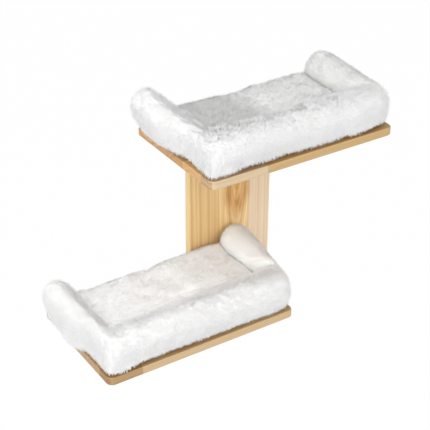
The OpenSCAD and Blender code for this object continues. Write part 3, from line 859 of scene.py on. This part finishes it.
def pull(points, place, pulls):
    """Sculpts a cover: each pull is (centre, reach, move) in millimetres on the platform."""
    moved = points.copy()
    for centre, reach, move in pulls:
        away = (place * 1000.0 - np.array(centre)) / np.array(reach)
        share = np.exp(-np.sum(away * away, axis=1))
        moved += share[:, None] * np.array(move) / 1000.0
    return moved


def on_right_roll(tier, points):
    """1 on the right roll's side of its mitre and 0 on the front bolster's."""
    return 1.0 - smooth_step(beyond_mitre(tier, 1, points), -0.004, 0.004)


def at_hem(place):
    """1 where a cover lies on its board, fading out above."""
    return 1.0 - smooth_step(place[:, 2], 0.004, 0.03)


def swelling(points, broad, seed):
    """Height of the uneven filling: broad lumps of the given height, and fine ones."""
    return broad * lumps(points, 0.050, seed) + 0.0012 * lumps(points, 0.021, seed + 3)


def hem_lift(tier, place):
    """How far the front hem lifts off its board, in metres."""
    lift = sum(hill(place[:, 0] * 1000.0, at, width) * rise for at, width, rise in HEM_LIFTS[tier]) / 1000.0
    return lift * (1.0 - smooth_step(place[:, 1], 0.02, 0.06)) * (1.0 - smooth_step(place[:, 2], 0.002, 0.03))


def settle_rolls(tier, cover, seed):
    """Sculpts a bed's ring of rolls and sets its hem down on the board."""
    points = shape_of(cover)
    points = pull(points, in_bed(tier, points), PULLS[cover.name])
    place = in_bed(tier, points)
    low, high = BOARDS[tier]

    # The front left corner's foot reaches out to the board's corner
    diagonal = (place[:, 0] + place[:, 1]) / math.sqrt(2.0)
    aside = (place[:, 0] - place[:, 1]) / math.sqrt(2.0)
    foot = diagonal[place[:, 2] < 0.010].min()
    share = hill(aside, 0.0, 0.022) * (1.0 - smooth_step(place[:, 2], 0.008, 0.075))
    share *= 1.0 - smooth_step(diagonal, foot, foot + 0.045)
    points -= np.outer(share * max(0.0, foot - FOOT_TO_CORNER), (1.0, 1.0, 0.0)) / math.sqrt(2.0)
    set_shape(cover, points)
    relax(cover, 1)

    # Uneven filling, least in the right roll, and the seam beside it
    points, normals = shape_of(cover), normals_of(cover)
    place = in_bed(tier, points)
    free = smooth_step(place[:, 2], 0.0, 0.02) * (1.0 - 0.85 * on_right_roll(tier, points))
    seam = hill(beyond_mitre(tier, 1, points), 0.0, 0.005) * (place[:, 0] > 0.3)
    points = points + normals * (swelling(points, 0.0020, seed) * free - 0.0025 * seam)[:, None]

    # The front hem comes forward unevenly, less at the corner
    forward = np.where(place[:, 1] < 0.04, 0.006, 0.002) * (place[:, 0] < 0.44)
    forward *= 1.0 - 0.8 * hill(place[:, 0] - place[:, 1], 0.0, 0.03)
    sideways = normals * np.array([1.0, 1.0, 0.0])
    points += sideways * ((0.0022 * lumps(points, 0.024, seed + 5) + forward) * at_hem(place))[:, None]

    # The hem lies on the board, and droops past the lower one's left end
    outside = smooth_step(low[0] - points[:, 0], 0.006, 0.012)
    lowest = high[2] + SAFE_GAP - (COVER_DROOP[tier] + SAFE_GAP) * outside
    points[:, 2] = np.maximum(points[:, 2], lowest)
    points[:, 2] += hem_lift(tier, place)
    set_shape(cover, points)
    write_attribute(cover.data, "outer_normal", "FLOAT_VECTOR", normals_of(cover))


def settle_seat(tier, cover, seed, rolls):
    """The seat pad fills its bed up to the rolls, with sculpted rises and dips and lumps on its top."""
    points = shape_of(cover)
    set_shape(cover, pull(points, in_bed(tier, points), PULLS[cover.name]))
    points, normals = shape_of(cover), normals_of(cover)
    place = in_bed(tier, points)
    raised = swelling(points, 0.0022, seed) * smooth_step(place[:, 2], 0.0, 0.02)
    points = points + normals * raised[:, None]
    moved = points.copy()
    for index, point in enumerate(points):
        height = place[index, 2]
        way = Vector((normals[index, 0], normals[index, 1], 0.0))
        if height < SEAT_FOOT or way.length < LEAST_TILT:
            continue
        way.normalize()
        hit, _, _, distance = rolls.ray_cast(Vector(point), way, 0.03)
        if hit is not None:
            moved[index] += np.array(way) * max(0.0, distance - 0.001) * min(1.0, (height - SEAT_FOOT) / 0.01)
    moved[:, 2] = np.maximum(moved[:, 2], BOARDS[tier][1][2] + SEAT_GAP)
    set_shape(cover, moved)
    relax(cover, 1)


def cut_out(tier, ring, name, keep):
    """One closed piece of the ring of rolls, on the kept side of its mitre planes."""
    shell = bmesh.new()
    shell.from_mesh(ring.data)
    for side, front in keep:
        place, normal = mitre(tier, side)
        cut = bmesh.ops.bisect_plane(
            shell, geom=shell.verts[:] + shell.edges[:] + shell.faces[:], dist=1e-6,
            plane_co=place + normal * (0.0002 if front else -0.0002), plane_no=normal,
            clear_inner=front, clear_outer=not front)
        edges = [item for item in cut["geom_cut"] if isinstance(item, bmesh.types.BMEdge)]
        filled = bmesh.ops.edgeloop_fill(shell, edges=edges)["faces"]
        bmesh.ops.triangulate(shell, faces=filled)
    bmesh.ops.recalc_face_normals(shell, faces=shell.faces)
    mesh = bpy.data.meshes.new(name)
    shell.to_mesh(mesh)
    shell.free()
    return new_object(name, mesh)


def comb_of(tier, part, points, normals):
    """Way the pile lies: outwards and down on rolls and bolsters, aslant on the seat."""
    low, high = BOARDS[tier]
    if part == "seat_pad":
        return normals * 0.5 + np.array([0.55, -0.6, 0.0])
    middle = np.array([(low[0] + high[0]) / 2, (low[1] + high[1]) / 2 + 0.08, 0.0])
    outward = points - middle
    outward[:, 2] = 0.0
    outward /= np.maximum(np.linalg.norm(outward, axis=1, keepdims=True), 1e-6)
    down = np.array([0.0, 0.0, -1.0]) + outward * 0.35
    along = down - normals * np.sum(down * normals, axis=1, keepdims=True)
    return along + normals * 0.45


def shown_faces(tier, part, mesh):
    """1 for each face of a cover that shows, 0 for those on its board, its mitres or its neighbours."""
    low, high = BOARDS[tier]
    others = [surface[f"{tier}_{other}"] for other in SLOT if (other == "seat_pad") != (part == "seat_pad")]
    mitres = [mitre(tier, side) for side, _ in ROLLS.get(part, ())]
    shown = np.ones(len(mesh.polygons))
    for index, face in enumerate(mesh.polygons):
        centre, normal = face.center, face.normal
        over = low[0] < centre.x < high[0] and centre.y > low[1]
        if over and normal.z < -0.6 and centre.z < high[2] + 0.010:
            shown[index] = 0.0
        for place, way in mitres:
            if abs((np.array(centre) - place) @ way) < 0.0006 and abs(np.array(normal) @ way) > 0.97:
                shown[index] = 0.0
        for other in others:
            near, way, _, distance = other.find_nearest(centre, 0.0025)
            if near is None:
                continue
            span = near - centre
            if span.dot(way) > 0.0015 or normal.dot(span) > 0.75 * distance:
                shown[index] = 0.0
    return shown


def length_and_curl(tier, part, points, place, seed):
    """Length and curl of the pile on each point of a cover."""
    if part == "front_bolster":
        curl = smooth_step(place[:, 2], 0.045, 0.085) * CREST_CURL[tier]
        return BOLSTER_LENGTH[tier], curl * (1.0 - 0.7 * smooth_step(place[:, 0], 0.37, 0.44))
    if part == "left_roll":
        return 0.82, smooth_step(lumps(points, 0.06, seed), 0.0, 0.5) * 0.35
    return 1.0, np.full(len(points), SHORT_CURL[tier])


def mark_pile(tier, part, cover, seed):
    """Writes on a cover what its strands follow, and gives those attributes' names."""
    low, high = BOARDS[tier]
    points, normals, mesh = shape_of(cover), normals_of(cover), cover.data
    if "outer_normal" in mesh.attributes:
        normals = vectors_in(mesh.attributes["outer_normal"].data, len(points))
        mesh.attributes.remove(mesh.attributes["outer_normal"])
    place = in_bed(tier, points)
    length, curl = length_and_curl(tier, part, points, place, seed)
    lifted = np.clip(hem_lift(tier, place) / 0.004, 0.0, 1.0)
    over_board = (points[:, 0] > low[0] - 0.004) & (points[:, 0] < high[0]) & (points[:, 1] > low[1])
    before_panel = (points[:, 0] > panel_low[0] - 0.015) & (points[:, 0] < panel_high[0] + 0.015)
    hang = PILE_HANG[tier] * smooth_step(place[:, 1], 0.08, 0.12) if part == "left_roll" else 0.0
    numbers = {
        "pile": np.maximum(length * (1.0 - 0.2 * at_hem(place)) - 0.6 * lifted, 0.2),
        "curl": curl,
        "floor_limit": high[2] + np.where(over_board, SAFE_GAP, -hang),
        "back_limit": np.where(before_panel, panel_low[1] - SAFE_GAP, -SAFE_GAP),
    }
    for name, values in numbers.items():
        write_attribute(mesh, name, "FLOAT", values)
    write_attribute(mesh, "comb", "FLOAT_VECTOR", comb_of(tier, part, points, normals))
    write_attribute(mesh, "cover", "FLOAT", shown_faces(tier, part, mesh), "FACE")
    return (*numbers, "comb", "cover")


def coat_piece(tier, part, cover, seed):
    """Grows a cover's coats and puts the cover in its solid's place."""
    node = f"{tier}_{part}"
    finish = FINISH[SLOT[part]]
    mesh = cover.data
    marks = mark_pile(tier, part, cover, seed)
    coats = []
    for number, (name, coat) in enumerate(finish["coats"].items()):
        values = {**dict(zip(COAT_VALUES, coat)), "Seed": seed + number, "Material": finish["material"]}
        coats.append(grow(cover, f"{node}_{name}", values, MOST_BACK.get(node, 1.0)))
    for name in marks:
        mesh.attributes.remove(mesh.attributes[name])
    mesh.materials.append(finish["material"])
    mesh.shade_smooth()
    for piece in (cover, *coats):
        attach(piece, f"{tier}_bed")
    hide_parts(node)


def surface_of(piece):
    shell = bmesh.new()
    shell.from_mesh(piece.data)
    tree = BVHTree.FromBMesh(shell)
    shell.free()
    return tree


rings = {tier: even_cover(f"{tier}_rolls", [f"{tier}_{part}" for part in ROLLS]) for tier in TIERS}
seats = {tier: even_cover(f"{tier}_seat_pad_cloth", [f"{tier}_seat_pad"]) for tier in TIERS}
for tier, ring in rings.items():
    points = shape_of(ring)
    right = on_right_roll(tier, points)
    inset = FINISH["long_plush"]["inset"] * (1.0 - right) + FINISH["smooth_plush"]["inset"] * right
    set_shape(ring, points - normals_of(ring) * inset[:, None])
    relax(ring, 2)
for seat in seats.values():
    set_shape(seat, shape_of(seat) - normals_of(seat) * FINISH["short_plush"]["inset"])
    relax(seat, 2)
fill_covers([(cover, BOARDS[tier][1][2]) for group in (rings, seats) for tier, cover in group.items()])

surface, covers = {}, {}
for number, tier in enumerate(TIERS):
    settle_rolls(tier, rings[tier], 10 + 50 * number)
    settle_seat(tier, seats[tier], 40 + 50 * number, surface_of(rings[tier]))
    covers[tier, "seat_pad"] = seats[tier]
    for part, keep in ROLLS.items():
        covers[tier, part] = cut_out(tier, rings[tier], f"{tier}_{part}_cloth", keep)
    bpy.data.objects.remove(rings[tier])
    for part in SLOT:
        surface[f"{tier}_{part}"] = surface_of(covers[tier, part])
for number, ((tier, part), cover) in enumerate(covers.items()):
    coat_piece(tier, part, cover, 10 + 10 * number)

# Wood, steel and tape
GOLD = (0.76, 0.55, 0.265)
HONEY = (0.88, 0.67, 0.34)
PINK = (0.78, 0.63, 0.45)
BEIGE = (0.61, 0.485, 0.31)
AMBER = (0.70, 0.47, 0.21)
RUSSET = (0.66, 0.44, 0.21)
CHESTNUT = (0.50, 0.335, 0.145)
UMBER = (0.39, 0.25, 0.107)
# Tint of the painted shade on the platforms' top and bottom faces, for the shade under the beds' hems
BROAD_FACE_SHADE = (0.78, 0.69, 0.56)

panel_wood = board_wood(
    "panel wood", "Z", "X",
    [Strip(-0.130, GOLD, -0.28, 0.05, 0.02, 0.45), Strip(-0.035, HONEY, 0.018, -0.035, 0.13, 0.60),
     Strip(0.053, PINK, 0.30, 0.04, 0.015, 0.32)],
    3, streak=((0.018, -0.02, -0.005), (0.040, 0.1, 0.072), (0.74, 0.58, 0.42)),
)
upper_wood = board_wood(
    "upper platform wood", "X", "Y",
    [Strip(-0.340, (0.57, 0.445, 0.285), -0.31, 0.17, 0.03, 0.28),
     Strip(-0.289, GOLD, -0.25, 0.20, -0.04, 0.35), Strip(-0.213, RUSSET, -0.20, 0.21, 0.03, 0.45),
     Strip(-0.1165, AMBER, -0.06, 0.29, 0.02, 0.40)],
    11, patches=[((-0.110, -0.34, 0.2), (0.3, -0.289, 0.3), CHESTNUT)], broad_face_shade=BROAD_FACE_SHADE,
)
lower_wood = board_wood(
    "lower platform wood", "X", "Y",
    [Strip(-0.340, (0.535, 0.39, 0.215), -0.31, -0.24, 0.04, 0.32),
     Strip(-0.285, (0.54, 0.395, 0.22), -0.25, -0.2, -0.03, 0.35),
     Strip(-0.200, BEIGE, -0.18, -0.2, 0.02, 0.35), Strip(-0.110, GOLD, -0.06, -0.12, 0.02, 0.35)],
    17, patches=[((-0.53, -0.34, -0.2), (-0.436, -0.285, -0.1), UMBER)], broad_face_shade=BROAD_FACE_SHADE,
)
dowel_wood = board_wood(
    "dowel wood", "Y", "X",
    [Strip(-0.5, BEIGE, -0.3, 0.1, 0.0, 0.2), Strip(0.0, BEIGE, 0.3, 0.1, 0.0, 0.2)], 23)
plated_steel = metal("plated steel", (0.72, 0.72, 0.70), 0.3, (400.0, 40.0, 400.0))
bracket_steel = powder_coat("grey powder coat", (0.13, 0.13, 0.135))
hook_cloth = woven("hook tape weave", (0.80, 0.80, 0.78), 0.0015, 0.0005)
loop_cloth = woven("loop tape weave", (0.78, 0.78, 0.76), 0.0010, 0.0004)
base_cloth = woven("base cloth weave", (0.70, 0.70, 0.68), 0.0008, 0.0002)

# The material of each solid, by the end of its name
MATERIAL_BY_ENDING = {
    "back_panel": panel_wood,
    "upper_platform": upper_wood,
    "lower_platform": lower_wood,
    "dowels": dowel_wood,
    "bolts": plated_steel,
    "nuts": plated_steel,
    "screws": plated_steel,
    "bracket": bracket_steel,
    "hook_tape": hook_cloth,
    "loop_tape": loop_cloth,
    "base_cloth": base_cloth,
}
for name, piece in nodes.items():
    for ending, material in MATERIAL_BY_ENDING.items():
        if name.endswith(ending):
            piece.data.materials.clear()
            piece.data.materials.append(material)

# Camera, light and floor
LENS = 102.73
CAMERA_PLACE = (-1.48276, -2.23005, 1.53301)
CAMERA_TURN = (58.9726, -0.2903, -32.8561)
AIM = (-0.1, -0.2, 0.0)
SKY_STRENGTH = 0.92
FLOOR_LEVEL = -2.4
FLOOR_REACH = 12.0

camera_data = bpy.data.cameras.new("camera")
camera_data.lens = LENS
camera = new_object("camera", camera_data)
camera.location = CAMERA_PLACE
camera.rotation_euler = [math.radians(turn) for turn in CAMERA_TURN]
bpy.context.scene.camera = camera


def soft_lamp(name, place, width, watts):
    """A square lamp aimed at the shelf."""
    data = bpy.data.lights.new(name, "AREA")
    data.shape = "SQUARE"
    data.size = width
    data.energy = watts
    lamp = new_object(name, data)
    lamp.location = place
    lamp.rotation_euler = (Vector(AIM) - Vector(place)).to_track_quat("-Z", "Y").to_euler()


soft_lamp("front lamp", (-0.6, -3.6, 1.3), 2.2, 35.0)
soft_lamp("low left lamp", (-3.3, -0.9, 0.9), 1.6, 16.0)
soft_lamp("high left lamp", (-2.3, -1.6, 2.6), 1.6, 48.0)


def seen_background(tree, lit, bright, level):
    """The bright shader where the camera or a reflection sees it, and the lit one for all other light."""
    rays = put(tree, "ShaderNodeLightPath").outputs
    seen = maths(tree, "MAXIMUM", rays["Is Camera Ray"], rays["Is Glossy Ray"])
    seen = maths(tree, "MAXIMUM", seen, rays["Is Transmission Ray"])
    mix = put(tree, "ShaderNodeMixShader")
    for socket, source in zip(mix.inputs, (maths(tree, "MULTIPLY", seen, level), lit, bright)):
        link(tree, source, socket)
    return mix.outputs[0]


world = bpy.data.worlds.new("studio")
bpy.context.scene.world = world
world.use_nodes = True
sky = world.node_tree
sky_light = sky.nodes["Background"]
set_inputs(sky_light, {"Color": WHITE, "Strength": SKY_STRENGTH})
sky_seen = put(sky, "ShaderNodeBackground")
set_inputs(sky_seen, {"Color": WHITE})
sky_mix = seen_background(sky, sky_light.outputs[0], sky_seen.outputs[0], 1.0)
link(sky, sky_mix, sky.nodes["World Output"].inputs["Surface"])

floor_mesh = bpy.data.meshes.new("floor")
corners = [(x * FLOOR_REACH, y * FLOOR_REACH, FLOOR_LEVEL) for x, y in ((-1, -1), (1, -1), (1, 1), (-1, 1))]
floor_mesh.from_pydata(corners, [], [(0, 1, 2, 3)])
floor = new_object("floor", floor_mesh)
floor_paint, floor_tree, floor_shader = new_material("pale floor")
set_inputs(floor_shader, {"Base Color": (0.92, 0.92, 0.92, 1.0), "Roughness": 1.0})
floor_seen = put(floor_tree, "ShaderNodeEmission")
floor_mix = seen_background(floor_tree, floor_shader.outputs[0], floor_seen.outputs[0], 0.96)
link(floor_tree, floor_mix, floor_tree.nodes["Material Output"].inputs["Surface"])
floor_mesh.materials.append(floor_paint)

bpy.context.scene.view_settings.view_transform = "Standard"
